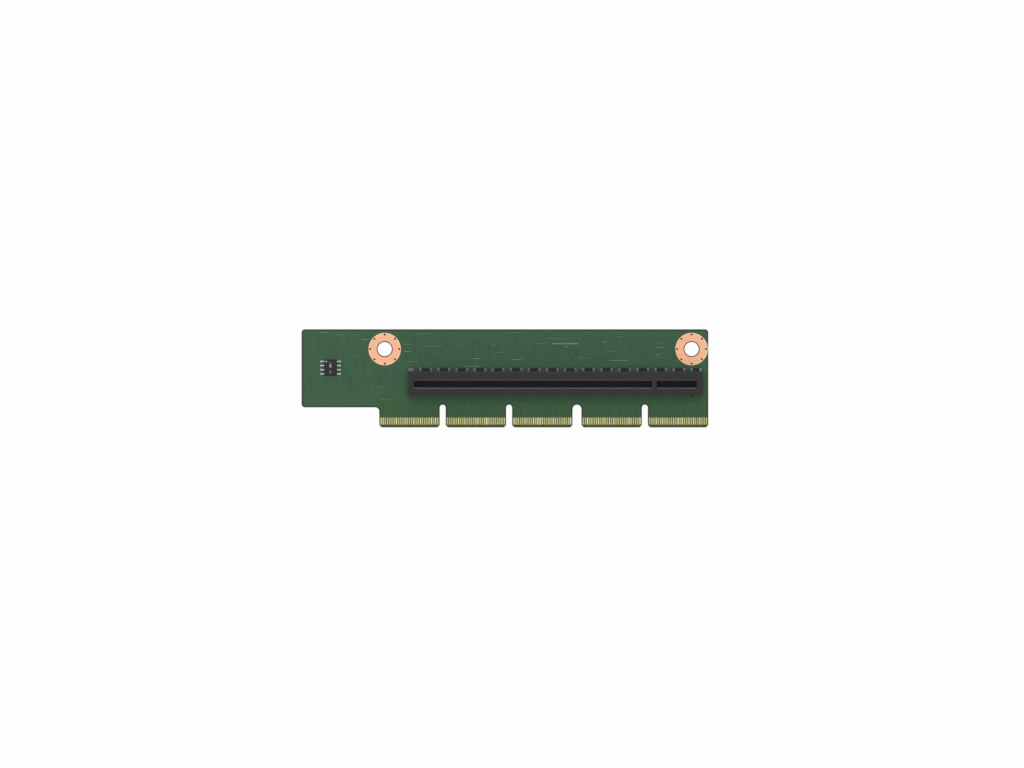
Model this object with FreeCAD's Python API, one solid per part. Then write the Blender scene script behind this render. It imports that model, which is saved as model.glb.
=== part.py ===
"""PCI Express riser card: a flat circuit board that carries one x16 card slot.

The board lies on its rear face. X runs along the board, Y from the mating edge up to the top
edge, and Z is the face that carries the slot. The origin is under the middle of the outline.
All lengths are in millimetres.
"""
import FreeCAD, Part
import math
import os

from FreeCAD import Vector

os.makedirs("parts", exist_ok=True)

# ---- circuit board -------------------------------------------------------------------------
board_length = 123.5
board_width = 29.8            # top edge to mating edge
board_thickness = 1.57
wing_drop = 6.1               # how far the wing's lower edge stands back from the mating edge
corner_radius = 1.0
step_fillet = 1.2

tongue_count = 5
tongue_width = 18.35
notch_width = 1.82
key_notch_width = 2.70
key_notch_index = 2           # the wide notch follows the third tongue
notch_depth = 6.9
tongue_chamfer = 0.7

bevel_length = 0.8            # the mating edge is bevelled on both faces
bevel_depth = 0.35

# ---- plated edge contacts ------------------------------------------------------------------
plating_thickness = 0.05      # copper stands level with the solder mask round it
finger_pitch = 0.663
finger_width = 0.42
finger_length = 2.1
finger_edge_gap = 0.08        # from the bevel to the fingers' ends
finger_side_margin = 0.3      # the least laminate left at the sides of each tongue
window_side_gap = 0.12        # bare laminate beside the outer fingers

# ---- mounting holes ------------------------------------------------------------------------
mounting_hole_diameter = 4.3
mounting_hole_spacing = 93.2
hole_to_top_edge = 6.0
land_diameter = 10.0
land_edge_clearance = 0.06    # from the right land to the board's end
land_pull_back = 0.3          # bare laminate between the hole and the land

# ---- card slot -----------------------------------------------------------------------------
card_thickness = 1.57
card_clearance = 0.23
card_tongue_short = 11.65
card_tongue_long = 71.65
tongue_clearance = 0.3        # end play of each card tongue in its section of the slot
slot_key_width = 1.65
slot_depth = 8.15
lead_in = 0.5                 # chamfer along the slot's mouth
end_lead_in = 0.15            # how far the chamfer reaches at the ends of each section

housing_end_wall = 1.72
housing_width = 7.5
housing_height = 11.25
housing_edge_chamfer = 0.25
housing_to_board_end = 1.96
housing_axis_height = 13.19   # from the mating edge to the slot's centre line

foot_gap = 0.55               # height of the open trough that the contacts' feet lie in
spine_width = 2.9             # middle of the base, which stands on the board
base_end_length = 1.15        # full-width blocks at both ends of the base

lug_pitch = 5.492
lug_width = 3.95
lug_reach = 1.1
lug_height = 2.6
lug_bevel = 0.72
lug_bevel_drop = 0.8
lug_offset = 5.13             # from the housing's left end to the first whole lug's centre

peg_diameter = 2.3            # across the corners of the six-sided pegs
peg_sides = 6
peg_length = 1.3
peg_clearance = 0.06
peg_end_distance = 5.0        # from the housing's ends to the locating pegs

pin_mark_radius = 0.45
pin_mark_inset = 0.1          # from the housing's long side to the mark's centre
pin_mark_depth = 3.0
pin_mark_end_distance = 2.95

# ---- slot contacts -------------------------------------------------------------------------
contact_pitch = 1.0
contact_key_gap = 3.0         # between the rows on the two sides of the key
contact_width = 0.46
contact_thickness = 0.2
contact_bump = 0.3            # how far the bump stands out of the slot's wall
bump_below_mouth = 3.4
tip_above_bump = 1.5
foot_inner_reach = 2.35       # from the slot's centre line to the contact's bend
foot_outer_reach = 3.5
cavity_side_clearance = 0.08
cavity_back_clearance = 0.28
cavity_top_clearance = 0.3

# ---- small-outline chip --------------------------------------------------------------------
chip_length = 4.9
chip_width = 3.9
chip_height = 1.45
chip_standoff = 0.15
chip_to_left_end = 8.81
chip_to_top_edge = 11.64
chip_draft = 0.16
chip_waist = 0.62             # height of the parting line that the leads leave at
chip_top_bevel = 0.35

lead_count = 4                # on each side
lead_pitch = 1.27
lead_width = 0.36
lead_thickness = 0.2
lead_span = 6.0
lead_foot = 0.6
lead_shoulder = 0.35
pad_thickness = 0.05
pad_length = 1.17
pad_width = 0.44
pad_toe = 0.12                # solder in front of each lead's tip

# ---- derived places ------------------------------------------------------------------------
left_end = -board_length / 2
right_end = board_length / 2
mating_edge = -board_width / 2
top_edge = board_width / 2
board_top = board_thickness

notch_widths = [notch_width] * (tongue_count - 1)
notch_widths[key_notch_index] = key_notch_width
step_x = right_end - tongue_count * tongue_width - sum(notch_widths)
wing_edge = mating_edge + wing_drop
notch_top = mating_edge + notch_depth

hole_y = top_edge - hole_to_top_edge
right_hole_x = right_end - land_diameter / 2 - land_edge_clearance
hole_centres = {
    "left": Vector(right_hole_x - mounting_hole_spacing, hole_y, 0),
    "right": Vector(right_hole_x, hole_y, 0),
}

finger_base = mating_edge + bevel_length + finger_edge_gap
finger_steps = math.floor((tongue_width - 2 * finger_side_margin - finger_width) / finger_pitch)
finger_row_width = finger_steps * finger_pitch + finger_width

section_short = card_tongue_short + tongue_clearance
section_long = card_tongue_long + tongue_clearance
slot_width = card_thickness + card_clearance
housing_length = section_long + slot_key_width + section_short + 2 * housing_end_wall
housing_right = right_end - housing_to_board_end
housing_left = housing_right - housing_length
slot_left = housing_left + housing_end_wall
slot_right = housing_right - housing_end_wall
key_centre = slot_right - section_short - slot_key_width / 2
slot_y = mating_edge + housing_axis_height
housing_top = board_top + housing_height
slot_floor = housing_top - slot_depth

contact_rows = {
    "short": [key_centre + contact_key_gap / 2 + i * contact_pitch
              for i in range(math.floor(card_tongue_short / contact_pitch))],
    "long": [key_centre - contact_key_gap / 2 - i * contact_pitch
             for i in range(math.floor(card_tongue_long / contact_pitch))],
}
bump_height = housing_top - bump_below_mouth
tip_height = bump_height + tip_above_bump
bump_reach = slot_width / 2 - contact_bump
cavity_top = tip_height + cavity_top_clearance
cavity_depth = bump_reach + contact_thickness + contact_bump + cavity_back_clearance

chip_centre = Vector(left_end + chip_to_left_end, top_edge - chip_to_top_edge, board_top)


# ---- helpers -------------------------------------------------------------------------------
def polygon_face(points):
    """A flat face inside the closed line through the points."""
    return Part.Face(Part.makePolygon(list(points) + [points[0]]))


def box(x_range, y_range, z_range):
    """A block between three pairs of limits."""
    lows = Vector(x_range[0], y_range[0], z_range[0])
    return Part.makeBox(x_range[1] - x_range[0], y_range[1] - y_range[0], z_range[1] - z_range[0], lows)


def cylinder(centre, diameter, z_range):
    """An upright cylinder round a centre."""
    base = Vector(centre.x, centre.y, z_range[0])
    return Part.makeCylinder(diameter / 2, z_range[1] - z_range[0], base)


def export(name, solids):
    """Write one sub-part: a single solid, or like pieces as a group of separate solids."""
    shape = solids[0] if len(solids) == 1 else Part.makeCompound(solids)
    shape.exportStep("parts/" + name + ".step")


def upright_edges(shape, x, y):
    """The edges of a shape that run along Z through a corner of its outline."""
    found = []
    for edge in shape.Edges:
        ends = [vertex.Point for vertex in edge.Vertexes]
        on_corner = all(math.hypot(p.x - x, p.y - y) < 1e-6 for p in ends)
        if on_corner and len(ends) == 2:
            found.append(edge)
    return found


# ---- circuit board -------------------------------------------------------------------------
def tongue_spans():
    """The left and right sides of each tongue."""
    spans = []
    left = step_x
    for gap in notch_widths + [0]:
        spans.append((left, left + tongue_width))
        left += tongue_width + gap
    return spans


def board_blank():
    """The outline as a plate, with rounded corners and the inside corner at the wing."""
    outline = [
        Vector(left_end, wing_edge, 0),
        Vector(step_x, wing_edge, 0),
        Vector(step_x, mating_edge, 0),
        Vector(right_end, mating_edge, 0),
        Vector(right_end, top_edge, 0),
        Vector(left_end, top_edge, 0),
    ]
    plate = polygon_face(outline).extrude(Vector(0, 0, board_thickness))
    for x, y in ((left_end, wing_edge), (left_end, top_edge), (right_end, top_edge)):
        plate = plate.makeFillet(corner_radius, upright_edges(plate, x, y))
    return plate.makeFillet(step_fillet, upright_edges(plate, step_x, wing_edge))


def notch_cutter(left, width):
    """A slot with a round end, open at the mating edge."""
    depth = (0, board_thickness)
    radius = width / 2
    shank = box((left, left + width), (mating_edge - radius, notch_top - radius), depth)
    end = cylinder(Vector(left + radius, notch_top - radius, 0), width, depth)
    return shank.fuse(end)


def edge_bevel_cutter(z_face, z_inner):
    """The wedge that the bevel takes off one face along the mating edge."""
    wedge = polygon_face([
        Vector(left_end, mating_edge, z_face),
        Vector(left_end, mating_edge + bevel_length, z_face),
        Vector(left_end, mating_edge, z_inner),
    ])
    return wedge.extrude(Vector(board_length, 0, 0))


def tongue_corner_cutters(span):
    """The two corners cut off one tongue's end."""
    cutters = []
    for x, inward in ((span[0], 1), (span[1], -1)):
        corner = polygon_face([
            Vector(x, mating_edge, 0),
            Vector(x + inward * tongue_chamfer, mating_edge, 0),
            Vector(x, mating_edge + tongue_chamfer, 0),
        ])
        cutters.append(corner.extrude(Vector(0, 0, board_thickness)))
    return cutters


def plated_levels():
    """The depth range of the plating on the front and on the rear face."""
    return {
        "front": (board_top - plating_thickness, board_top),
        "rear": (0, plating_thickness),
    }


def finger_window(span, level):
    """The opening in the solder mask round one tongue's fingers."""
    middle = (span[0] + span[1]) / 2
    half = finger_row_width / 2 + window_side_gap
    return box((middle - half, middle + half), (finger_base, finger_base + finger_length), level)


def peg_centres():
    """Where the housing's two locating pegs enter the board."""
    return [
        Vector(housing_left + peg_end_distance, slot_y, 0),
        Vector(housing_right - peg_end_distance, slot_y, 0),
    ]


def circuit_board():
    cutters = []
    spans = tongue_spans()
    for span, width in zip(spans, notch_widths):
        cutters.append(notch_cutter(span[1], width))
    for span in spans:
        cutters.extend(tongue_corner_cutters(span))
    cutters.append(edge_bevel_cutter(board_top, board_top - bevel_depth))
    cutters.append(edge_bevel_cutter(0, bevel_depth))
    for level in plated_levels().values():
        cutters.extend(finger_window(span, level) for span in spans)
    for centre in hole_centres.values():
        cutters.append(cylinder(centre, land_diameter, plated_levels()["front"]))
        cutters.append(cylinder(centre, mounting_hole_diameter, (0, board_thickness)))
    for centre in peg_centres():
        cutters.append(cylinder(centre, peg_diameter + 2 * peg_clearance, (0, board_thickness)))
    return board_blank().cut(cutters)


def edge_fingers(span, level):
    """The row of plated contacts on one face of one tongue."""
    first = (span[0] + span[1] - finger_row_width) / 2
    fingers = []
    for i in range(finger_steps + 1):
        left = first + i * finger_pitch
        fingers.append(box((left, left + finger_width), (finger_base, finger_base + finger_length), level))
    return fingers


def mounting_land(centre):
    """The flat copper ring round one mounting hole."""
    level = plated_levels()["front"]
    bare_diameter = mounting_hole_diameter + 2 * land_pull_back
    return cylinder(centre, land_diameter, level).cut(cylinder(centre, bare_diameter, level))


# ---- card slot -----------------------------------------------------------------------------
def across(side, reach, height):
    """A point of a cross-section at the slot, on its upper (1) or lower (-1) side."""
    return Vector(0, slot_y + side * reach, height)


def housing_body():
    """The moulding's outer form, a profile along X with chamfered upper edges."""
    half = housing_width / 2
    shoulder = housing_top - housing_edge_chamfer
    profile = polygon_face([
        across(-1, half, board_top),
        across(-1, half, shoulder),
        across(-1, half - housing_edge_chamfer, housing_top),
        across(1, half - housing_edge_chamfer, housing_top),
        across(1, half, shoulder),
        across(1, half, board_top),
    ])
    profile.translate(Vector(housing_left, 0, 0))
    return profile.extrude(Vector(housing_length, 0, 0))


def slot_cutter(left, right):
    """One section of the card slot, with its lead-in round the mouth."""
    pocket = box((left, right), (slot_y - slot_width / 2, slot_y + slot_width / 2), (slot_floor, housing_top))
    lower = [
        Vector(left, slot_y - slot_width / 2, housing_top - lead_in),
        Vector(right, slot_y - slot_width / 2, housing_top - lead_in),
        Vector(right, slot_y + slot_width / 2, housing_top - lead_in),
        Vector(left, slot_y + slot_width / 2, housing_top - lead_in),
    ]
    mouth = slot_width / 2 + lead_in
    upper = [
        Vector(left - end_lead_in, slot_y - mouth, housing_top),
        Vector(right + end_lead_in, slot_y - mouth, housing_top),
        Vector(right + end_lead_in, slot_y + mouth, housing_top),
        Vector(left - end_lead_in, slot_y + mouth, housing_top),
    ]
    rings = [Part.makePolygon(ring + [ring[0]]) for ring in (lower, upper)]
    return pocket.fuse(Part.makeLoft(rings, True, True))


def foot_trough(side):
    """The open space under one long side, where the contacts' feet are soldered."""
    x_range = (housing_left + base_end_length, housing_right - base_end_length)
    reaches = sorted(slot_y + side * reach for reach in (spine_width / 2, housing_width / 2))
    return box(x_range, reaches, (board_top, board_top + foot_gap))


def contact_cavity(x, side):
    """The pocket that one contact stands and springs in, open to the slot and to its trough."""
    half = contact_width / 2 + cavity_side_clearance
    base_back = foot_inner_reach + contact_thickness + cavity_back_clearance
    profile = polygon_face([
        across(side, spine_width / 2, board_top + foot_gap),
        across(side, slot_width / 2, slot_floor),
        across(side, slot_width / 2, cavity_top),
        across(side, cavity_depth, cavity_top),
        across(side, base_back, board_top + foot_gap),
    ])
    profile.translate(Vector(x - half, 0, 0))
    return profile.extrude(Vector(2 * half, 0, 0))


def lug_spans():
    """The two ends of each lug, clipped at the housing's ends, wherever both its bevels fit."""
    spans = []
    first = housing_left + lug_offset - lug_pitch
    count = math.ceil((housing_right + lug_width / 2 - first) / lug_pitch)
    for i in range(count):
        middle = first + i * lug_pitch
        left = max(middle - lug_width / 2, housing_left)
        right = min(middle + lug_width / 2, housing_right)
        if right - left > 2 * lug_bevel:
            spans.append((left, right))
    return spans


def standoff_lugs():
    """Bevelled lugs along the foot of the housing's upper long side."""
    lugs = []
    wall = slot_y + housing_width / 2
    shoulder = board_top + lug_height - lug_bevel_drop
    for left, right in lug_spans():
        profile = polygon_face([
            Vector(left, wall, board_top),
            Vector(left, wall, shoulder),
            Vector(left + lug_bevel, wall, board_top + lug_height),
            Vector(right - lug_bevel, wall, board_top + lug_height),
            Vector(right, wall, shoulder),
            Vector(right, wall, board_top),
        ])
        lugs.append(profile.extrude(Vector(0, lug_reach, 0)))
    return lugs


def locating_peg(centre):
    """A six-sided peg under the base, which stops short of the board's rear face."""
    corners = []
    for i in range(peg_sides):
        angle = 2 * math.pi * (i + 0.5) / peg_sides
        reach = Vector(math.cos(angle), math.sin(angle), 0) * (peg_diameter / 2)
        corners.append(centre + reach + Vector(0, 0, board_top - peg_length))
    return polygon_face(corners).extrude(Vector(0, 0, peg_length))


def slot_housing():
    cutters = [
        slot_cutter(slot_left, key_centre - slot_key_width / 2),
        slot_cutter(key_centre + slot_key_width / 2, slot_right),
    ]
    cutters.extend(foot_trough(side) for side in (1, -1))
    mark = Vector(housing_right - pin_mark_end_distance, slot_y - housing_width / 2 + pin_mark_inset, 0)
    cutters.append(cylinder(mark, 2 * pin_mark_radius, (housing_top - pin_mark_depth, housing_top)))
    for row in contact_rows.values():
        for side in (1, -1):
            cutters.extend(contact_cavity(x, side) for x in row)
    pegs = [locating_peg(centre) for centre in peg_centres()]
    return housing_body().fuse(standoff_lugs() + pegs).removeSplitter().cut(cutters)


def slot_contact(x, side):
    """One stamped spring contact: a foot on the board, a leaning beam, a bump and a coined tip."""
    inner = foot_inner_reach
    outer = foot_inner_reach + contact_thickness
    profile = polygon_face([
        across(side, foot_outer_reach, board_top),
        across(side, inner, board_top),
        across(side, bump_reach, bump_height),
        across(side, bump_reach + contact_bump + contact_thickness, tip_height),
        across(side, bump_reach + contact_thickness, bump_height),
        across(side, outer, board_top + contact_thickness),
        across(side, foot_outer_reach, board_top + contact_thickness),
    ])
    profile.translate(Vector(x - contact_width / 2, 0, 0))
    return profile.extrude(Vector(contact_width, 0, 0))


# ---- small-outline chip --------------------------------------------------------------------
def rectangle_ring(inset_x, inset_y, height):
    """One level of the chip's body, drawn in from its widest outline."""
    half_x = chip_width / 2 - inset_x
    half_y = chip_length / 2 - inset_y
    corners = [(-half_x, -half_y), (half_x, -half_y), (half_x, half_y), (-half_x, half_y)]
    points = [chip_centre + Vector(x, y, height) for x, y in corners]
    return Part.makePolygon(points + [points[0]])


def chip_body():
    """The moulded package: two drafted halves and a bevel along the side of lead one."""
    waist = chip_standoff + chip_waist
    top = chip_standoff + chip_height
    upper_half = Part.makeLoft([rectangle_ring(0, 0, waist), rectangle_ring(chip_draft, chip_draft, top)],
                               True, True)
    lower_half = Part.makeLoft([rectangle_ring(chip_draft, chip_draft, chip_standoff),
                                rectangle_ring(0, 0, waist)], True, True)
    body = upper_half.fuse(lower_half)
    side = chip_centre.x - chip_width / 2 + chip_draft
    bevel = polygon_face([
        Vector(side - chip_draft, chip_centre.y - chip_length, board_top + top),
        Vector(side + chip_top_bevel, chip_centre.y - chip_length, board_top + top),
        Vector(side - chip_draft, chip_centre.y - chip_length, board_top + top - chip_top_bevel),
    ])
    return body.cut(bevel.extrude(Vector(0, 2 * chip_length, 0)))


def lead_places():
    """The middle of each lead along one side of the chip."""
    first = chip_centre.y - (lead_count - 1) * lead_pitch / 2
    return [first + i * lead_pitch for i in range(lead_count)]


def chip_lead(y, side):
    """One gull-wing lead, from the body's waist down to its pad."""
    body_face = chip_width / 2
    knee = body_face + lead_shoulder
    tip = lead_span / 2
    heel = tip - lead_foot
    low = board_top + pad_thickness
    high = board_top + chip_standoff + chip_waist

    def point(reach, height):
        return Vector(chip_centre.x + side * reach, y - lead_width / 2, height)

    profile = polygon_face([
        point(body_face, high + lead_thickness / 2),
        point(knee, high + lead_thickness / 2),
        point(heel + lead_thickness, low + lead_thickness),
        point(tip, low + lead_thickness),
        point(tip, low),
        point(heel, low),
        point(knee - lead_thickness, high - lead_thickness / 2),
        point(body_face, high - lead_thickness / 2),
    ])
    return profile.extrude(Vector(0, lead_width, 0))


def chip_pad(y, side):
    """The solder on the pad under one lead."""
    outer = lead_span / 2 + pad_toe
    x_range = sorted(chip_centre.x + side * reach for reach in (outer - pad_length, outer))
    return box(x_range, (y - pad_width / 2, y + pad_width / 2), (board_top, board_top + pad_thickness))


# ---- export --------------------------------------------------------------------------------
export("circuit_board", [circuit_board()])

for face, level in plated_levels().items():
    for number, span in enumerate(tongue_spans(), start=1):
        export("%s_fingers_tongue_%d" % (face, number), edge_fingers(span, level))
for place, centre in hole_centres.items():
    export("mounting_land_" + place, [mounting_land(centre)])

export("slot_housing", [slot_housing()])
for section, row in contact_rows.items():
    export("upper_contacts_" + section, [slot_contact(x, 1) for x in row])
    export("lower_contacts_" + section, [slot_contact(x, -1) for x in row])

export("chip_body", [chip_body()])
for name, side in (("left", -1), ("right", 1)):
    export("chip_leads_" + name, [chip_lead(y, side) for y in lead_places()])
    export("chip_solder_" + name, [chip_pad(y, side) for y in lead_places()])
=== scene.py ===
"""The looks of the PCI Express riser card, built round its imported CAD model.

The card lies on its rear face and the camera looks straight down on it. Values named with _MM or
_mm are in millimetres. Everything handed to Blender is in metres.
"""

import math
import random

import bmesh
import bpy
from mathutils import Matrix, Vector


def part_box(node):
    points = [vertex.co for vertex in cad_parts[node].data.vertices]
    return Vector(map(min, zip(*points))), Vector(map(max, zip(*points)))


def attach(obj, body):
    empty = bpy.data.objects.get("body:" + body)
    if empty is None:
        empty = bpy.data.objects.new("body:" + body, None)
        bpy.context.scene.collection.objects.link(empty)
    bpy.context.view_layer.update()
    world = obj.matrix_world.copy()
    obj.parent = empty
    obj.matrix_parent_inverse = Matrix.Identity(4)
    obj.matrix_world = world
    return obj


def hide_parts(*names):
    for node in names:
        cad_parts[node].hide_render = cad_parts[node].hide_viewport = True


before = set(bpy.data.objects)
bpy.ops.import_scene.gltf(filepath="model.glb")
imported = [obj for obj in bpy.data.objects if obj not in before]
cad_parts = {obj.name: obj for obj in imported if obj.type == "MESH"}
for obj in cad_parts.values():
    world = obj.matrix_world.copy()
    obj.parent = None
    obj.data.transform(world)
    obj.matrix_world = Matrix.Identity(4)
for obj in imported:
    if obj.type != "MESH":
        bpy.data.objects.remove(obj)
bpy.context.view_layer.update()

MM = 0.001
BODY = "root"
TONGUES = 5
FINGERS_IN_A_ROW = 27

# ---- places taken from the frame ------------------------------------------------------------
board_low, board_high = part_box("circuit_board")
housing_low, housing_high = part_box("slot_housing")
chip_low, chip_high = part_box("chip_body")
land_boxes = [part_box("mounting_land_left"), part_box("mounting_land_right")]
tongue_boxes = [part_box("front_fingers_tongue_%d" % (number + 1)) for number in range(TONGUES)]
board_top = board_high.z
finger_top = tongue_boxes[0][1].y
slot_middle = (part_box("lower_contacts_long")[0].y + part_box("upper_contacts_long")[1].y) / 2

# ---- traces under the solder mask -----------------------------------------------------------
TRACE_SEED = 7
TRACE_HEIGHT_MM = 0.012
TRACE_GRID_MM = 0.35             # traces away from the tongues lie on it, so parallel ones stay apart
TRACE_MARGIN_MM = 0.5            # from traces to the lands, the chip and the slot
TRACE_PROBE_MM = 0.4             # between the points where a trace is tested against the open mask
SHORTEST_TRACE = 3               # in steps of that length

BARE_FINGER_SHARE = 0.45         # how many of the fingers have no trace in view
FINGER_TRACE_START_MM = 0.3      # over the fingers' tops
FINGER_TRACE_BEND_MM = (1.0, 2.5)  # from a trace's start to its jog
FINGER_TRACE_JOG_MM = 0.4
FINGER_TRACE_SHORTFALL_MM = 3.0  # the most from a trace's end to the slot
FINGER_TRACE_WIDTH_MM = (0.10, 0.16)
WING_TRACE_END_MM = -7.9         # where traces left of the slot end, over the board's middle

# Upright traces, as their number, their area's sides and its heights over the board's middle,
# and the least and the most of their length.
UPRIGHT_TRACES_MM = (
    (92, (-31.5, 59.0), (3.4, 13.8), (1.5, 8.0)),
    (44, (-50.0, -31.9), (-7.5, 13.8), (2.0, 7.0)),
    (12, (-61.0, -50.4), (-8.0, 13.8), (3.0, 8.0)),
)
UPRIGHT_TRACE_WIDTH_MM = (0.10, 0.17)
UPRIGHT_TRACE_PLAY_MM = 0.1      # the least range of a trace's lower end

LEVEL_TRACE_ROWS_MM = (3.8, 13.7)
LEVEL_TRACE_STARTS_MM = ((-48.0, -8.0), (1.0, 42.0))
LEVEL_TRACE_LENGTH_MM = (2.0, 7.0)
LEVEL_TRACE_WIDTH_MM = 0.11
LEVEL_TRACE_HEIGHT_MM = 0.009

# ---- films on the solder mask ---------------------------------------------------------------
DASH_HEIGHT_MM = 0.015
DASH_WIDTHS_MM = {"strong": 0.16, "faint": 0.14}

# Short pale traces along the board, as their left end, right end and height over its middle.
DASHES_MM = {
    "strong": (
        (-56.2, -53.8, 14.0), (-43.3, -41.4, 11.75), (-30.6, -28.5, 8.2), (-10.0, -7.6, 6.0),
        (-12.1, -7.6, 3.65), (2.4, 5.0, 5.7), (14.4, 22.2, 10.45), (14.4, 22.2, 10.65),
        (18.4, 19.4, 9.6), (29.5, 30.7, 11.0), (31.6, 37.4, 5.4), (45.7, 48.1, 9.35),
        (45.7, 47.2, 7.2),
    ),
    "faint": (
        (-52.0, -48.9, 13.3), (-45.8, -44.6, 13.3), (-49.8, -48.1, 11.1), (-47.1, -46.4, 11.0),
        (-30.6, -28.5, 10.25), (-30.6, -26.1, 5.1), (-27.0, -21.3, 13.5), (-24.3, -18.5, 9.8),
        (-4.2, -2.7, 10.3), (-2.9, -0.4, 7.9), (1.9, 4.4, 13.9), (11.6, 14.6, 14.4),
        (11.9, 20.3, 12.1), (8.4, 12.4, 10.6), (20.1, 21.0, 7.8), (21.9, 26.2, 6.1),
        (-6.2, -5.4, 3.8), (29.8, 34.2, 8.15), (33.6, 35.8, 12.7), (45.9, 48.6, 10.7),
        (-41.0, -39.7, -2.65), (-39.4, -36.8, -2.7), (-38.0, -34.5, -6.4),
        (-45.9, -43.9, 6.8), (45.6, 48.2, 6.4),
    ),
}

BORDER_WIDTH_MM = 0.40
BORDER_HEIGHT_MM = 0.008
BORDER_GAP_MM = 0.02             # from the board's outline to the border
BORDER_STEP_MM = 1.0             # the most between the border's points
MITRE_LIMIT = 0.5                # the least cosine of half a turn that a mitre follows

# ---- mounting lands -------------------------------------------------------------------------
LAND_HOLE_RADIUS_MM = 2.45       # the CAD lands' own
VIAS_IN_A_LAND = 8
VIA_RADIUS_MM = 0.31
VIA_TO_RIM_MM = 0.58             # from a via's centre to the land's rim
# the dark discs in the vias are painted shade for the depth of the holes
SHADE_DISC_DEPTH_MM = 0.2              # under the land
SHADE_DISC_RISE_MM = 0.002             # into the via
LAND_OUTLINE_WIDTH_MM = 0.14
LAND_OUTLINE_HEIGHT_MM = 0.006
RIM_SIDES = 96
HOLE_SIDES = 72
VIA_SIDES = 20

# ---- chip marks -----------------------------------------------------------------------------
MARK_HEIGHT_MM = 0.004
DOT_INSET_MM = (0.62, 0.60)      # from the package's left and upper sides
DOT_RADIUS_MM = 0.26
DOT_DEPTH_MM = 0.31              # so that it meets the package's bevel, which it overlaps
DOT_SIDES = 24
BAR_DEPTH_MM = 0.01
BAR_SHIFT_MM = -0.05             # from the package's middle, along the board
BAR_HALF_WIDTH_MM = 0.30

# Plain bars, as their strength, their offset up the board and half their height.
BARS_MM = (("faint", 1.45, 0.20), ("strong", 0.55, 0.52), ("faint", -1.30, 0.52))

# ---- zones of the finishes ------------------------------------------------------------------
SHADE_TINT_STRENGTH = 0.8               # how strongly the band below the slot takes its painted shade tint
SHADE_TINT_FADE_MM = 2.0             # about the slot's lower side
WING_SHADE_END_MM = 21.5         # from the board's left end to where the wing's plain green fades into the painted shade tint
WING_FADE_MM = 3.0
FINGER_WINDOW_MM = 1.0           # over the fingers' tops, where a recess is still theirs
SKIN_MM = 0.02                   # the depth that still counts as the board's face
SKIN_FADE_MM = 0.01
EDGE_FLATNESS = 0.5              # the most that a normal on the board's edges has along z
BEVEL_FLATNESS = (0.6, 0.97)     # the least and the most on its bevels
FACE_FLATNESS = 0.98             # the least on its faces

# Fine lines in the mask, as the noise's scale along x, y and z, and the band of it that shows.
MASK_LINES = (
    ((2.3, 0.07, 0.5), (0.56, 0.64)),
    ((0.06, 2.1, 0.5), (0.60, 0.66)),
)
LINE_FADE = 0.03
LINE_STRENGTH = 0.22
LINE_RELIEF = 0.6

LAND_RIM_MM = (0.60, 0.06)       # the pale rim's two sides, from the land's edge inwards
LAND_RIM_FADE_MM = 0.12
LAND_LINE_MM = 0.07              # width of the brown line at the land's edge

FINGER_GRAIN = (2.1, 0.05, 0.0)  # the noise's scale along x, y and z, stretched along a finger
PALE_FINGERS = (0.52, 2.0)       # the band of it that is pale
PALE_FADE = 0.14

LUG_DEPTH_MM = 1.0               # from the lugs' tips towards the housing's wall
LUG_TOP_MM = 6.0                 # a height between the lugs and the slot's mouth
FIRST_LUG_MM = 1.7               # from the housing's left end to past its first, clipped lug
# the lugs' flanks get a painted highlight, picked out by this slope
FLANK_SLOPE = (0.3, 0.97)        # the part of a normal along x, on the lugs' flanks
LEAD_IN_SLOPE = (0.3, 0.95)      # the part of a normal along y, on the lead-ins
# where a painted highlight goes
LIT_EDGE_MM = (-1.50, -1.17)     # the outer strip of the lower lead-in, from the slot's middle
# where the upper lead-in's painted lighter tone goes
UPPER_LEAD_IN_MM = (0.0, 1.5)    # the upper lead-in, from the slot's middle
SHARP = 0.02                     # the fade at a limit of slope
SHARP_MM = 0.05

# ---- view and light -------------------------------------------------------------------------
VIEW_WIDTH_MM = 310.95           # at the board's face
CAMERA_OVER_MM = (2.15, -1.71)
CAMERA_HEIGHT = 8.0              # over the card's rear face
FLOOR_DROP_MM = 0.05             # under it
FLOOR_REACH = 6.0                # from the card to the floor's sides
FLOOR_GLOW = 0.90                # the plain white share of what the camera sees of the floor
SURROUND_LIGHT = 0.24            # the world's strength to all but the rays that see it

# Soft lamps, as name, place, target, width and height in metres, watts, and whether they show in gloss.
LAMPS = (
    ("overhead", (0, 0.03, 1.2), (0, 0.03, 0), (0.26, 0.5), 8.4, False),
    ("left", (-0.9, -0.06, 0.6), (0, 0, 0), (0.4, 0.4), 0.8, True),
    ("right", (0.9, -0.06, 0.6), (0, 0, 0), (0.4, 0.4), 0.8, True),
    ("rim", (-0.05, 0.85, 0.13), (0, 0, 0), (0.3, 0.2), 1.6, True),
    ("front", (0.10, -0.90, 0.35), (0, 0, 0), (0.5, 0.4), 1.2, True),
)

# ---- colours, as linear light, and gloss ----------------------------------------------------
MASK_GREEN = (0.0395, 0.0950, 0.0485)
MASK_GREEN_PALE = (0.0500, 0.1110, 0.0620)
# painted shade: a greener, less blue tint for the band below the slot
SHADE_TINT_GREEN = (0.040, 0.095, 0.040)
TRACE_DARK = (0.031, 0.074, 0.038)
TRACE_LIGHT = (0.170, 0.260, 0.180)
TRACE_PALE = (0.105, 0.175, 0.118)
BORDER_DARK = (0.018, 0.036, 0.020)
LAMINATE = (0.115, 0.120, 0.055)
BARE_WINDOW = (0.024, 0.027, 0.010)
BEVEL_GREEN = (0.041, 0.060, 0.026)
LAMINATE_DARK = (0.075, 0.045, 0.028)
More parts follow.
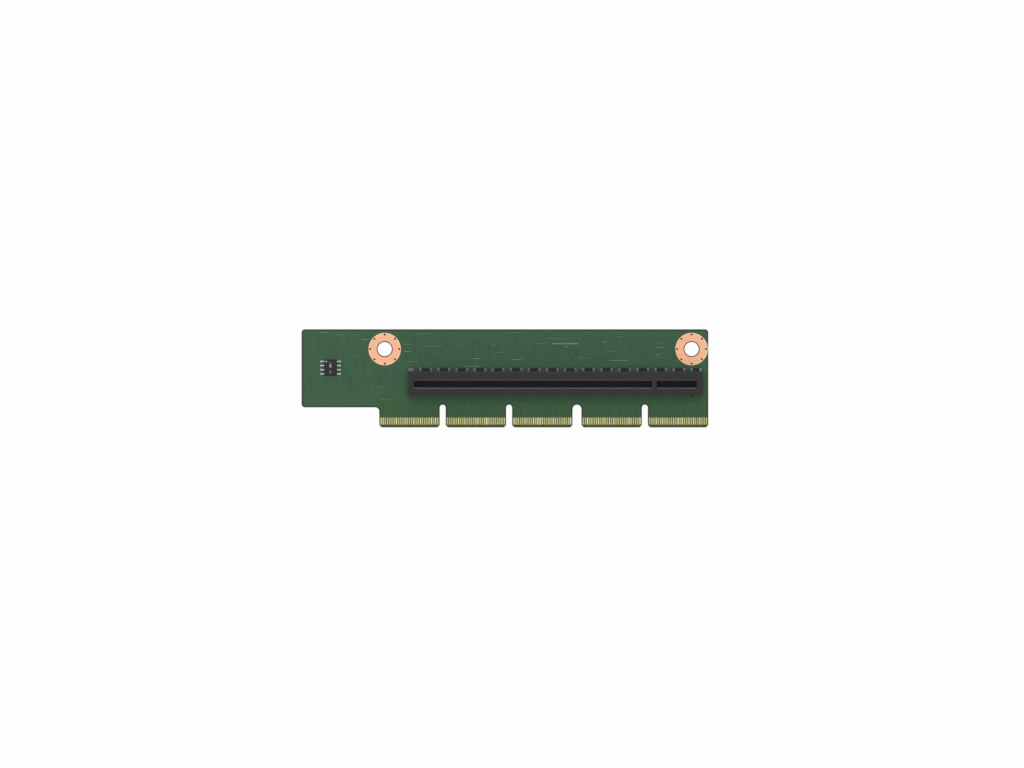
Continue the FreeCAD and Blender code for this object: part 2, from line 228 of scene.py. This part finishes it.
# painted shade in the via holes
VIA_SHADE = (0.016, 0.010, 0.007)
COPPER = (0.940, 0.490, 0.295)
COPPER_RIM = (0.800, 0.610, 0.380)
COPPER_OUTLINE = (0.120, 0.060, 0.030)
GOLD = (0.455, 0.468, 0.188)
GOLD_PALE = (0.740, 0.750, 0.430)
# bronze of the contacts, darkened as painted shade for their place deep in the slot
CONTACT_BRONZE_SHADED = (0.070, 0.062, 0.045)
HOUSING_BLACK = (0.0260, 0.0240, 0.0255)
# pale grey of the first lug, and the painted highlight on the lugs' sloped flanks
LUG_GREY_AND_HIGHLIGHT = (0.200, 0.260, 0.215)
# painted highlight on the outer strip of the lower lead-in
LEAD_IN_HIGHLIGHT = (0.115, 0.112, 0.118)
# painted light: a lighter grey than the moulding for the upper lead-in, picked out by which way it
# faces
UPPER_LEAD_IN_PAINTED_LIGHT = (0.044, 0.043, 0.045)
CHIP_BLACK = (0.024, 0.024, 0.025)
MARK_GREY = (0.330, 0.310, 0.325)
MARK_FAINT = (0.135, 0.125, 0.125)
DOT_GREY = (0.420, 0.430, 0.420)
TIN = (0.520, 0.580, 0.530)
FLOOR_WHITE = (0.97, 0.97, 0.97)

MASK_ROUGHNESS = 0.5
MASK_SPECULAR = 0.25
PRINT_ROUGHNESS = 0.7
PRINT_SPECULAR = 0.2
GLOSS_VARIES = 0.15              # the share by which a finish's roughness varies either way

# The start of each CAD node's name, and the finish that it gets.
NODE_FINISHES = {
    "circuit_board": "mask",
    "front_fingers": "gold",
    "rear_fingers": "gold",
    "mounting_land": "copper",
    "slot_housing": "housing",
    "upper_contacts": "contact",
    "lower_contacts": "contact",
    "chip_body": "chip",
    "chip_leads": "lead",
    "chip_solder": "solder",
}


# ---- shader helpers -------------------------------------------------------------------------
class Paint:
    """One node material, with short calls for the nodes that the finishes share."""

    def __init__(self, name, colour, roughness, metallic=0.0, specular=0.5):
        self.material = bpy.data.materials.new(name)
        self.material.use_nodes = True
        self.tree = self.material.node_tree
        self.shader = self.tree.nodes["Principled BSDF"]
        self.shader.inputs["Base Color"].default_value = (*colour, 1)
        self.shader.inputs["Roughness"].default_value = roughness
        self.shader.inputs["Metallic"].default_value = metallic
        self.shader.inputs["Specular IOR Level"].default_value = specular
        place = self.tree.nodes.new("ShaderNodeTexCoord")
        self.place = self.stretch(place.outputs["Object"], (1 / MM, 1 / MM, 1 / MM))

    def node(self, kind, **inputs):
        """A node with its inputs set or linked by name."""
        made = self.tree.nodes.new(kind)
        for key, value in inputs.items():
            self.feed(made.inputs[key.replace("_", " ")], value)
        return made

    def feed(self, socket, value):
        """Link an input to another node's output, or set its own value."""
        if isinstance(value, bpy.types.NodeSocket):
            self.tree.links.new(value, socket)
        elif hasattr(value, "__len__") and socket.type == "RGBA":
            socket.default_value = (*value[:3], 1)
        else:
            socket.default_value = value

    def stretch(self, vector, scale):
        """The vector with each axis scaled."""
        made = self.tree.nodes.new("ShaderNodeVectorMath")
        made.operation = "MULTIPLY"
        self.feed(made.inputs[0], vector)
        made.inputs[1].default_value = scale
        return made.outputs[0]

    def math(self, operation, first, second=0.0, clamp=False):
        """One sum on one or two values."""
        made = self.tree.nodes.new("ShaderNodeMath")
        made.operation = operation
        made.use_clamp = clamp
        self.feed(made.inputs[0], first)
        self.feed(made.inputs[1], second)
        return made.outputs[0]

    def times(self, first, second):
        """The product of two values."""
        return self.math("MULTIPLY", first, second)

    def above(self, value, limit):
        """1 where a value is over its limit."""
        return self.math("GREATER_THAN", value, limit)

    def below(self, value, limit):
        """1 where a value is under its limit."""
        return self.math("LESS_THAN", value, limit)

    def band(self, value, low, high, fade):
        """1 where a value is between low and high, fading to 0 at both."""
        rise = self.math("DIVIDE", self.math("SUBTRACT", value, low), fade, clamp=True)
        fall = self.math("DIVIDE", self.math("SUBTRACT", high, value), fade, clamp=True)
        return self.times(rise, fall)

    def noise(self, scale, detail=2.0, vector=None):
        """Noise over the place in millimetres, or over another vector."""
        made = self.node("ShaderNodeTexNoise", Scale=scale, Detail=detail)
        self.feed(made.inputs["Vector"], self.place if vector is None else vector)
        return made.outputs["Fac"]

    def streaks(self, scale):
        """Noise over the place in millimetres, with a scale of its own along each axis."""
        return self.noise(1.0, detail=1.0, vector=self.stretch(self.place, scale))

    def mix(self, factor, first, second):
        """A colour between two."""
        made = self.tree.nodes.new("ShaderNodeMix")
        made.data_type = "RGBA"
        self.feed(made.inputs[0], factor)
        self.feed(made.inputs[6], first)
        self.feed(made.inputs[7], second)
        return made.outputs[2]

    def spread(self, value, low, high):
        """A value between 0 and 1, moved to between low and high."""
        return self.math("ADD", self.times(value, high - low), low)

    def axes(self, vector=None):
        """The three parts of a vector, or of the place in millimetres."""
        made = self.tree.nodes.new("ShaderNodeSeparateXYZ")
        self.feed(made.inputs[0], self.place if vector is None else vector)
        return made.outputs[0], made.outputs[1], made.outputs[2]

    def facing(self):
        """The true normal's three parts."""
        made = self.tree.nodes.new("ShaderNodeNewGeometry")
        return self.axes(made.outputs["True Normal"])

    def colour(self, value):
        """Feed the base colour."""
        self.feed(self.shader.inputs["Base Color"], value)

    def colour_so_far(self):
        """What feeds the base colour."""
        return self.shader.inputs["Base Color"].links[0].from_socket

    def roughness(self, value):
        """Feed the roughness."""
        self.feed(self.shader.inputs["Roughness"], value)

    def bump(self, height, strength, distance_mm):
        """A fine relief on the surface."""
        made = self.node("ShaderNodeBump", Strength=strength, Distance=distance_mm * MM, Height=height)
        self.feed(self.shader.inputs["Normal"], made.outputs[0])


def seen_directly(tree):
    """1 for camera, glossy and transmission rays, in a material's or the world's node tree."""
    rays = tree.nodes.new("ShaderNodeLightPath")
    seen = rays.outputs["Is Camera Ray"]
    for kind in ("Is Glossy Ray", "Is Transmission Ray"):
        either = tree.nodes.new("ShaderNodeMath")
        either.operation = "MAXIMUM"
        tree.links.new(seen, either.inputs[0])
        tree.links.new(rays.outputs[kind], either.inputs[1])
        seen = either.outputs[0]
    return seen


# ---- finishes -------------------------------------------------------------------------------
def mask_lines(paint):
    """Fine soft lines up and along the board, like traces that hardly show."""
    lines = []
    for scale, (low, high) in MASK_LINES:
        lines.append(paint.band(paint.streaks(scale), low, high, LINE_FADE))
    return paint.math("MAXIMUM", *lines)


def shade_tint_zone(paint, x, y):
    """How far a place takes the painted shade tint: the band below the slot, right of the wing."""
    lower = board_low.y / MM - SHADE_TINT_FADE_MM
    upper = housing_low.y / MM + SHADE_TINT_FADE_MM / 2
    left = board_low.x / MM + WING_SHADE_END_MM
    right = board_high.x / MM + WING_FADE_MM
    below_slot = paint.band(y, lower, upper, SHADE_TINT_FADE_MM)
    past_wing = paint.band(x, left, right, WING_FADE_MM)
    return paint.times(paint.times(below_slot, past_wing), SHADE_TINT_STRENGTH)


def solder_mask_finish():
    """Green mask on the faces, bare laminate at the edges and in the recesses round the plating."""
    paint = Paint("solder_mask", MASK_GREEN, MASK_ROUGHNESS, specular=MASK_SPECULAR)
    x, y, z = paint.axes()
    flatness = paint.math("ABSOLUTE", paint.facing()[2])
    lines = mask_lines(paint)

    mottle = paint.spread(paint.noise(0.09, detail=3.0), low=0.1, high=0.9)
    green = paint.mix(mottle, MASK_GREEN, MASK_GREEN_PALE)
    # painted shade tint on the band below the slot
    green = paint.mix(shade_tint_zone(paint, x, y), green, SHADE_TINT_GREEN)
    green = paint.mix(paint.times(lines, LINE_STRENGTH), green, TRACE_DARK)

    surface = paint.mix(paint.below(flatness, EDGE_FLATNESS), green, LAMINATE)
    surface = paint.mix(paint.band(flatness, *BEVEL_FLATNESS, SHARP), surface, BEVEL_GREEN)
    under_faces = paint.band(z, SKIN_MM, board_top / MM - SKIN_MM, SKIN_FADE_MM)
    recess = paint.times(under_faces, paint.above(flatness, FACE_FLATNESS))
    by_fingers = paint.below(y, finger_top / MM + FINGER_WINDOW_MM)
    bare = paint.mix(by_fingers, LAMINATE_DARK, BARE_WINDOW)
    paint.colour(paint.mix(recess, surface, bare))

    weave = paint.math("ADD", paint.noise(6.0), paint.times(lines, LINE_RELIEF))
    paint.bump(weave, strength=0.12, distance_mm=0.03)
    paint.roughness(paint.spread(paint.noise(0.7, detail=3.0), low=0.42, high=0.60))
    return paint.material


def plain_finish(name, colour, roughness, metallic=0.0, specular=0.4, vary=0.12,
                 grain=(8.0, 0.15, 0.02)):
    """A finish with slight variations of shade and gloss, and a fine relief.

    The grain is its scale, its strength and its depth in millimetres.
    """
    paint = Paint(name, colour, roughness, metallic, specular)
    darker = [channel * (1 - vary) for channel in colour]
    lighter = [min(1.0, channel * (1 + vary)) for channel in colour]
    paint.colour(paint.mix(paint.noise(0.8, detail=4.0), darker, lighter))
    scale, strength, depth_mm = grain
    paint.bump(paint.noise(scale, detail=3.0), strength, depth_mm)
    smoothest = roughness * (1 - GLOSS_VARIES)
    roughest = min(1.0, roughness * (1 + GLOSS_VARIES))
    paint.roughness(paint.spread(paint.noise(2.5), smoothest, roughest))
    return paint


def film_finish(name, colour, vary=0.12):
    """A plain finish with the solder mask's gloss."""
    return plain_finish(name, colour, MASK_ROUGHNESS, specular=MASK_SPECULAR, vary=vary).material


def print_finish(name, colour, vary=0.12):
    """A plain finish with the dullness of print and holes."""
    return plain_finish(name, colour, PRINT_ROUGHNESS, specular=PRINT_SPECULAR, vary=vary).material


def copper_finish():
    """Coated copper: a flat peach-coloured ring, with a paler rim and a thin brown outline."""
    paint = plain_finish("bare_copper", COPPER, 0.42, metallic=0.55, vary=0.05, grain=(5.0, 0.10, 0.01))
    x, y, _ = paint.axes()
    distances = []
    for low, high in land_boxes:
        centre = (low + high) / 2 / MM
        from_x = paint.math("SUBTRACT", x, centre.x)
        from_y = paint.math("SUBTRACT", y, centre.y)
        squares = paint.math("ADD", paint.math("POWER", from_x, 2.0), paint.math("POWER", from_y, 2.0))
        distances.append(paint.math("SQRT", squares))
    radius = paint.math("MINIMUM", *distances)
    outer = (land_boxes[0][1].x - land_boxes[0][0].x) / 2 / MM
    rim_low, rim_high = [outer - distance for distance in LAND_RIM_MM]
    rim = paint.band(radius, rim_low, rim_high, LAND_RIM_FADE_MM)
    ringed = paint.mix(rim, paint.colour_so_far(), COPPER_RIM)
    paint.colour(paint.mix(paint.above(radius, outer - LAND_LINE_MM), ringed, COPPER_OUTLINE))
    return paint.material


def gold_finish():
    """Gold plating, with each finger a little different in shade."""
    paint = plain_finish("gold_plating", GOLD, 0.33, metallic=0.8, vary=0.06, grain=(10.0, 0.08, 0.01))
    pale = paint.band(paint.streaks(FINGER_GRAIN), *PALE_FINGERS, PALE_FADE)
    paint.colour(paint.mix(pale, paint.colour_so_far(), GOLD_PALE))
    return paint.material


def lead_in(paint, y, slope, reach_mm):
    """1 on a lead-in that slopes that way, within its reach from the slot's middle."""
    near, far = [slot_middle / MM + distance for distance in reach_mm]
    return paint.times(paint.band(slope, *LEAD_IN_SLOPE, SHARP), paint.band(y, near, far, SHARP_MM))


def housing_finish():
    """Black glass-filled moulding: a pale first lug, painted highlights on the lugs' flanks and on the
    lower lead-in, and a painted lighter tone on the upper lead-in.
    """
    paint = plain_finish("housing_plastic", HOUSING_BLACK, 0.55, specular=0.22, vary=0.10,
                         grain=(9.0, 0.25, 0.02))
    x, y, z = paint.axes()
    normal_x, normal_y, _ = paint.facing()

    # painted highlight along the outer strip of the lower lead-in
    lit_edge = lead_in(paint, y, normal_y, LIT_EDGE_MM)
    # painted light: the upper lead-in takes a lighter grey than the rest of the moulding
    upper = lead_in(paint, y, paint.times(normal_y, -1.0), UPPER_LEAD_IN_MM)
    moulding = paint.mix(lit_edge, paint.colour_so_far(), LEAD_IN_HIGHLIGHT)
    moulding = paint.mix(upper, moulding, UPPER_LEAD_IN_PAINTED_LIGHT)

    by_tips = paint.above(y, housing_high.y / MM - LUG_DEPTH_MM)
    by_lugs = paint.times(by_tips, paint.below(z, LUG_TOP_MM))
    # painted highlight on the lugs' sloped flanks, standing in for light catching them
    flank_highlight = paint.band(paint.math("ABSOLUTE", normal_x), *FLANK_SLOPE, SHARP)
    first_lug = paint.below(x, housing_low.x / MM + FIRST_LUG_MM)
    # the first lug's pale grey is its own colour; on the flanks it is a painted highlight
    pale = paint.times(by_lugs, paint.math("MAXIMUM", flank_highlight, first_lug))
    paint.colour(paint.mix(pale, moulding, LUG_GREY_AND_HIGHLIGHT))
    return paint.material


def make_finishes():
    """Every material of the card by name."""
    return {
        "mask": solder_mask_finish(),
        "copper": copper_finish(),
        "gold": gold_finish(),
        "housing": housing_finish(),
        # the contacts' bronze is darkened: painted shade inside the slot
        "contact": plain_finish("contact_metal", CONTACT_BRONZE_SHADED, 0.5, metallic=0.5).material,
        "chip": plain_finish("chip_plastic", CHIP_BLACK, 0.6, specular=0.2,
                             grain=(14.0, 0.3, 0.02)).material,
        "lead": plain_finish("tinned_lead", TIN, 0.35, metallic=0.4, vary=0.04).material,
        "solder": plain_finish("solder", TIN, 0.3, metallic=0.4, vary=0.06).material,
        "trace": film_finish("buried_trace", TRACE_DARK, vary=0.25),
        "dash_strong": film_finish("open_trace", TRACE_LIGHT, vary=0.25),
        "dash_faint": film_finish("pale_trace", TRACE_PALE, vary=0.25),
        "border": film_finish("mask_border", BORDER_DARK, vary=0.10),
        "outline": film_finish("land_outline", COPPER_OUTLINE),
        # painted shade for the inside of the via holes
        "via": print_finish("via_hole_shade", VIA_SHADE),
        "bars_strong": print_finish("laser_mark", MARK_GREY, vary=0.20),
        "bars_faint": print_finish("faint_mark", MARK_FAINT, vary=0.20),
        "dot": print_finish("lead_one_dot", DOT_GREY, vary=0.05),
    }


def dress_frame(finishes):
    """Give each CAD node its finish."""
    for name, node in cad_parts.items():
        kind = next(finish for start, finish in NODE_FINISHES.items() if name.startswith(start))
        if not node.material_slots:
            node.data.materials.append(None)
        for place in node.material_slots:
            place.material = finishes[kind]


# ---- mesh helpers ---------------------------------------------------------------------------
def piece(name, data, material):
    """A new piece of the card, from bmesh data."""
    mesh = bpy.data.meshes.new(name)
    data.to_mesh(mesh)
    data.free()
    made = bpy.data.objects.new(name, mesh)
    made.data.materials.append(material)
    bpy.context.scene.collection.objects.link(made)
    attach(made, BODY)
    return made


def plan_centre(low, high):
    """The middle of a box, seen from above."""
    return Vector(((low.x + high.x) / 2, (low.y + high.y) / 2))


def circle(centre, radius, count):
    """Plan points round a centre."""
    angles = [2 * math.pi * i / count for i in range(count)]
    return [centre + Vector((math.cos(a), math.sin(a))) * radius for a in angles]


def rectangle(centre, half_width, half_height):
    """The plan corners of a rectangle."""
    signs = ((-1, -1), (1, -1), (1, 1), (-1, 1))
    return [centre + Vector((a * half_width, b * half_height)) for a, b in signs]


def mitred(into, out, distance):
    """How far a corner of a line moves when the line moves to its left by a distance."""
    along = (into + out).normalized()
    return Vector((-along.y, along.x)) * (distance / max(MITRE_LIMIT, along.dot(into)))


def add_ribbon(data, points, width, height, closed=False):
    """A flat bar on the board along a line of points, mitred at its corners."""
    count = len(points)
    rails = []
    for i, point in enumerate(points):
        before = points[i - 1] if (i > 0 or closed) else None
        after = points[(i + 1) % count] if (i < count - 1 or closed) else None
        into = (point - before).normalized() if before is not None else (after - point).normalized()
        out = (after - point).normalized() if after is not None else into
        side = mitred(into, out, width / 2)
        ring = []
        for offset, level in ((side, 0), (side, height), (-side, height), (-side, 0)):
            ring.append(data.verts.new((point.x + offset.x, point.y + offset.y, board_top + level)))
        rails.append(ring)
    for i in range(count if closed else count - 1):
        first, second = rails[i], rails[(i + 1) % count]
        for j in range(4):
            k = (j + 1) % 4
            data.faces.new((first[j], first[k], second[k], second[j]))
    if not closed:
        data.faces.new(rails[0])
        data.faces.new(list(reversed(rails[-1])))


def add_tablets(data, shapes, low, high):
    """A closed tablet on each closed line of plan points."""
    for shape in shapes:
        lower = [data.verts.new((p.x, p.y, low)) for p in shape]
        upper = [data.verts.new((p.x, p.y, high)) for p in shape]
        data.faces.new(upper)
        data.faces.new(list(reversed(lower)))
        for i in range(len(shape)):
            j = (i + 1) % len(shape)
            data.faces.new((lower[i], lower[j], upper[j], upper[i]))


def add_pierced_plate(data, rings, low, high):
    """A flat plate inside the first ring, with a hole at each other ring."""
    levels = []
    for level in (low, high):
        edges = []
        loops = []
        for ring in rings:
            verts = [data.verts.new((p.x, p.y, level)) for p in ring]
            loops.append(verts)
            for i, vert in enumerate(verts):
                edges.append(data.edges.new((vert, verts[(i + 1) % len(verts)])))
        bmesh.ops.triangle_fill(data, use_beauty=True, edges=edges)
        levels.append(loops)
    for lower, upper in zip(*levels):
        for i in range(len(lower)):
            j = (i + 1) % len(lower)
            data.faces.new((lower[i], lower[j], upper[j], upper[i]))
    bmesh.ops.recalc_face_normals(data, faces=data.faces)


# ---- traces ---------------------------------------------------------------------------------
def off_the_lands(point, margin):
    """Whether a plan point keeps its distance from both lands."""
    for low, high in land_boxes:
        if (point - plan_centre(low, high)).length < (high.x - low.x) / 2 + margin:
            return False
    return True


def on_open_mask(point, margin):
    """Whether a plan point keeps its distance from the lands, the chip and the slot."""
    if not off_the_lands(point, margin):
        return False
    for low, high in ((housing_low, housing_high), (chip_low, chip_high)):
        inside_x = low.x - margin < point.x < high.x + margin
        inside_y = low.y - margin < point.y < high.y + margin
        if inside_x and inside_y:
            return False
    return True


def open_stretches(start, end):
    """The runs of a straight line that lie on open mask, apart from very short ones."""
    steps = max(2, int((end - start).length / (TRACE_PROBE_MM * MM)))
    runs = []
    current = []
    for i in range(steps + 1):
        point = start.lerp(end, i / steps)
        if on_open_mask(point, TRACE_MARGIN_MM * MM):
            current.append(point)
        else:
            runs.append(current)
            current = []
    runs.append(current)
    return [(run[0], run[-1]) for run in runs if len(run) > SHORTEST_TRACE]


def add_finger_traces(data, dice):
    """Traces that run up from the fingers. About a third have a jog, one way on each tongue."""
    for low, high in tongue_boxes:
        pitch = (high.x - low.x) / FINGERS_IN_A_ROW
        lean = dice.choice((-FINGER_TRACE_JOG_MM, FINGER_TRACE_JOG_MM)) * MM
        for i in range(FINGERS_IN_A_ROW):
            if dice.random() < BARE_FINGER_SHARE:
                continue
            x = low.x + (i + 0.5) * pitch
            if x < housing_low.x:
                reach = WING_TRACE_END_MM * MM
            else:
                reach = housing_low.y - dice.uniform(0.0, FINGER_TRACE_SHORTFALL_MM) * MM
            start = Vector((x, finger_top + FINGER_TRACE_START_MM * MM))
            jog = dice.choice((0, 0, 1)) * lean
            bend = start.y + dice.uniform(*FINGER_TRACE_BEND_MM) * MM
            end = Vector((x + jog, reach))
            line = [start, Vector((x, bend)), Vector((x + jog, bend + abs(jog))), end]
            if jog == 0:
                line = [start, end]
            width = dice.uniform(*FINGER_TRACE_WIDTH_MM) * MM
            add_ribbon(data, line, width, TRACE_HEIGHT_MM * MM)


def add_upright_traces(data, dice):
    """Straight traces up the open mask, at most one in each column of the grid."""
    for count, (left, right), (bottom, top), lengths in UPRIGHT_TRACES_MM:
        columns = range(math.ceil(left / TRACE_GRID_MM), math.floor(right / TRACE_GRID_MM))
        for column in dice.sample(columns, min(count, len(columns))):
            x = column * TRACE_GRID_MM * MM
            length = dice.uniform(*lengths)
            y = dice.uniform(bottom, max(bottom + UPRIGHT_TRACE_PLAY_MM, top - length))
            start = Vector((x, y * MM))
            end = Vector((x, min(y + length, top) * MM))
            for first, last in open_stretches(start, end):
                width = dice.uniform(*UPRIGHT_TRACE_WIDTH_MM) * MM
                add_ribbon(data, [first, last], width, TRACE_HEIGHT_MM * MM)


def add_level_traces(data, dice):
    """Straight traces along the open mask over the slot, at most two in each row of the grid."""
    bottom, top = LEVEL_TRACE_ROWS_MM
    for row in range(math.ceil(bottom / TRACE_GRID_MM), math.floor(top / TRACE_GRID_MM)):
        for left, right in LEVEL_TRACE_STARTS_MM:
            start = Vector((dice.uniform(left, right), row * TRACE_GRID_MM)) * MM
            end = start + Vector((dice.uniform(*LEVEL_TRACE_LENGTH_MM) * MM, 0))
            for first, last in open_stretches(start, end):
                add_ribbon(data, [first, last], LEVEL_TRACE_WIDTH_MM * MM, LEVEL_TRACE_HEIGHT_MM * MM)


def buried_traces(finishes):
    """Faint ridges of the traces under the mask."""
    dice = random.Random(TRACE_SEED)
    data = bmesh.new()
    add_finger_traces(data, dice)
    add_upright_traces(data, dice)
    add_level_traces(data, dice)
    piece("buried_traces", data, finishes["trace"])


def open_dashes(finishes):
    """Short pale traces along the board."""
    for name, dashes in DASHES_MM.items():
        data = bmesh.new()
        for left, right, y in dashes:
            line = [Vector((x * MM, y * MM)) for x in (left, right)]
            add_ribbon(data, line, DASH_WIDTHS_MM[name] * MM, DASH_HEIGHT_MM * MM)
        piece("open_dashes_" + name, data, finishes["dash_" + name])


# ---- the mask's border ----------------------------------------------------------------------
def outline_loop():
    """The outer edge of the board's top face, as plan points in counter-clockwise order."""
    flattest = 0.999
    same_level = 1e-6
    digits = 7
    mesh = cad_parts["circuit_board"].data
    uses = {}
    for polygon in mesh.polygons:
        heights = [mesh.vertices[v].co.z for v in polygon.vertices]
        level = all(abs(height - board_top) < same_level for height in heights)
        if not (level and polygon.normal.z > flattest):
            continue
        for pair in polygon.edge_keys:
            ends = [tuple(round(c, digits) for c in mesh.vertices[v].co[:2]) for v in pair]
            key = tuple(sorted(ends))
            uses[key] = uses.get(key, 0) + 1
    neighbours = {}
    for (a, b), count in uses.items():
        if count == 1:
            neighbours.setdefault(a, []).append(b)
            neighbours.setdefault(b, []).append(a)
    start = min(neighbours)
    loop = [start]
    here, last = neighbours[start][0], start
    while here != start:
        loop.append(here)
        ahead = [p for p in neighbours[here] if p != last]
        last, here = here, ahead[0]
    points = [Vector(p) for p in loop]
    area = sum(a.x * b.y - b.x * a.y for a, b in zip(points, points[1:] + points[:1]))
    return points if area > 0 else list(reversed(points))


def inset(points, distance):
    """A closed counter-clockwise line moved inwards."""
    moved = []
    for i, point in enumerate(points):
        into = (point - points[i - 1]).normalized()
        out = (points[(i + 1) % len(points)] - point).normalized()
        moved.append(point + mitred(into, out, distance))
    return moved


def divided(points, step):
    """A closed line with points added on its long stretches."""
    dense = []
    for i, point in enumerate(points):
        ahead = points[(i + 1) % len(points)]
        parts = max(1, math.ceil((ahead - point).length / step))
        dense.extend(point.lerp(ahead, j / parts) for j in range(parts))
    return dense


def mask_border(finishes):
    """The dark line along the board's outline, where its inner copper ends."""
    width = BORDER_WIDTH_MM * MM
    middle = inset(outline_loop(), width / 2 + BORDER_GAP_MM * MM)
    line = divided(middle, BORDER_STEP_MM * MM)
    kept = [point.y > finger_top and off_the_lands(point, width / 2) for point in line]
    first = next(i for i in range(len(line)) if kept[i] and not kept[i - 1])
    data = bmesh.new()
    run = []
    for i in range(first, first + len(line) + 1):
        place = i % len(line)
        if kept[place] and i < first + len(line):
            run.append(line[place])
            continue
        if len(run) > 1:
            add_ribbon(data, run, width, BORDER_HEIGHT_MM * MM)
        run = []
    piece("mask_border", data, finishes["border"])


# ---- mounting lands -------------------------------------------------------------------------
def via_shade_discs(side, vias, level, finishes):
    """Dark discs in a land's vias: painted shade that stands for the depth of their holes."""
    data = bmesh.new()
    add_tablets(data, vias, level - SHADE_DISC_DEPTH_MM * MM, level + SHADE_DISC_RISE_MM * MM)
    piece("via_shade_discs_" + side, data, finishes["via"])


def land_outline(side, centre, outer, finishes):
    """The thin dark line round a land, open where it would pass the board's end."""
    width = LAND_OUTLINE_WIDTH_MM * MM
    line = circle(centre, outer + width / 2, RIM_SIDES)
    on_board = [point for point in line if point.x < board_high.x - width / 2]
    whole = len(on_board) == len(line)
    data = bmesh.new()
    add_ribbon(data, on_board, width, LAND_OUTLINE_HEIGHT_MM * MM, closed=whole)
    piece("land_outline_" + side, data, finishes["outline"])


def pierced_land(side, box, finishes):
    """A copper land with its ring of vias, in place of the plain CAD land."""
    low, high = box
    centre = plan_centre(low, high)
    outer = (high.x - low.x) / 2
    via_centres = circle(centre, outer - VIA_TO_RIM_MM * MM, VIAS_IN_A_LAND)
    vias = [circle(place, VIA_RADIUS_MM * MM, VIA_SIDES) for place in via_centres]
    rim = circle(centre, outer, RIM_SIDES)
    hole = circle(centre, LAND_HOLE_RADIUS_MM * MM, HOLE_SIDES)
    data = bmesh.new()
    add_pierced_plate(data, [rim, hole] + vias, low.z, high.z)
    land = piece("land_%s_pierced" % side, data, finishes["copper"])
    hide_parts("mounting_land_" + side)
    via_shade_discs(side, vias, low.z, finishes)
    land_outline(side, centre, outer, finishes)


# ---- chip marks -----------------------------------------------------------------------------
def chip_dot(finishes):
    """The dot at the chip's first lead."""
    inset_x, inset_y = DOT_INSET_MM
    centre = Vector((chip_low.x + inset_x * MM, chip_high.y - inset_y * MM))
    dot = circle(centre, DOT_RADIUS_MM * MM, DOT_SIDES)
    data = bmesh.new()
    add_tablets(data, [dot], chip_high.z - DOT_DEPTH_MM * MM, chip_high.z + MARK_HEIGHT_MM * MM)
    piece("chip_dot", data, finishes["dot"])


def chip_bars(finishes):
    """Plain bars where a package is marked."""
    middle = plan_centre(chip_low, chip_high)
    for name in ("faint", "strong"):
        bars = []
        for strength, offset, half_height in BARS_MM:
            if strength == name:
                centre = middle + Vector((BAR_SHIFT_MM, offset)) * MM
                bars.append(rectangle(centre, BAR_HALF_WIDTH_MM * MM, half_height * MM))
        data = bmesh.new()
        add_tablets(data, bars, chip_high.z - BAR_DEPTH_MM * MM, chip_high.z + MARK_HEIGHT_MM * MM)
        piece("chip_bars_" + name, data, finishes["bars_" + name])


# ---- studio ---------------------------------------------------------------------------------
def studio_floor():
    """A pale floor just under the board, white to the camera with a trace of shadow."""
    paint = Paint("studio_floor", FLOOR_WHITE, 0.8, specular=0.1)
    glow = paint.node("ShaderNodeEmission", Color=(1, 1, 1), Strength=1.0)
    blend = paint.tree.nodes.new("ShaderNodeMixShader")
    paint.feed(blend.inputs[0], paint.times(seen_directly(paint.tree), FLOOR_GLOW))
    paint.feed(blend.inputs[1], paint.shader.outputs[0])
    paint.feed(blend.inputs[2], glow.outputs[0])
    paint.feed(paint.tree.nodes["Material Output"].inputs["Surface"], blend.outputs[0])
    data = bmesh.new()
    bmesh.ops.create_grid(data, x_segments=1, y_segments=1, size=FLOOR_REACH)
    mesh = bpy.data.meshes.new("floor")
    data.to_mesh(mesh)
    data.free()
    floor = bpy.data.objects.new("floor", mesh)
    floor.location.z = -FLOOR_DROP_MM * MM
    floor.data.materials.append(paint.material)
    bpy.context.scene.collection.objects.link(floor)


def surround():
    """A white world to the rays that see it, and a dim one to the rest."""
    world = bpy.data.worlds.new("surround")
    bpy.context.scene.world = world
    world.use_nodes = True
    tree = world.node_tree
    level = tree.nodes.new("ShaderNodeMapRange")
    level.inputs["To Min"].default_value = SURROUND_LIGHT
    level.inputs["To Max"].default_value = 1.0
    background = tree.nodes["Background"]
    background.inputs["Color"].default_value = (1, 1, 1, 1)
    tree.links.new(seen_directly(tree), level.inputs["Value"])
    tree.links.new(level.outputs["Result"], background.inputs["Strength"])


def studio_light():
    """A soft lamp overhead that doesn't show in gloss, and weak low lamps round the card."""
    for name, place, target, (width, height), watts, in_gloss in LAMPS:
        light = bpy.data.lights.new(name, "AREA")
        light.shape = "RECTANGLE"
        light.size = width
        light.size_y = height
        light.energy = watts
        lamp = bpy.data.objects.new(name, light)
        lamp.location = place
        lamp.rotation_euler = (Vector(target) - Vector(place)).to_track_quat("-Z", "Y").to_euler()
        lamp.visible_glossy = in_gloss
        bpy.context.scene.collection.objects.link(lamp)


def camera():
    """A long lens straight above the card."""
    over_x, over_y = CAMERA_OVER_MM
    data = bpy.data.cameras.new("camera")
    data.lens = data.sensor_width * (CAMERA_HEIGHT - board_top) / (VIEW_WIDTH_MM * MM)
    made = bpy.data.objects.new("camera", data)
    made.location = (over_x * MM, over_y * MM, CAMERA_HEIGHT)
    bpy.context.scene.collection.objects.link(made)
    bpy.context.scene.camera = made


# ---- the scene ------------------------------------------------------------------------------
finishes = make_finishes()
dress_frame(finishes)
buried_traces(finishes)
open_dashes(finishes)
mask_border(finishes)
for side, box in zip(("left", "right"), land_boxes):
    pierced_land(side, box, finishes)
chip_dot(finishes)
chip_bars(finishes)
studio_floor()
surround()
studio_light()
camera()
bpy.context.scene.view_settings.view_transform = "Standard"
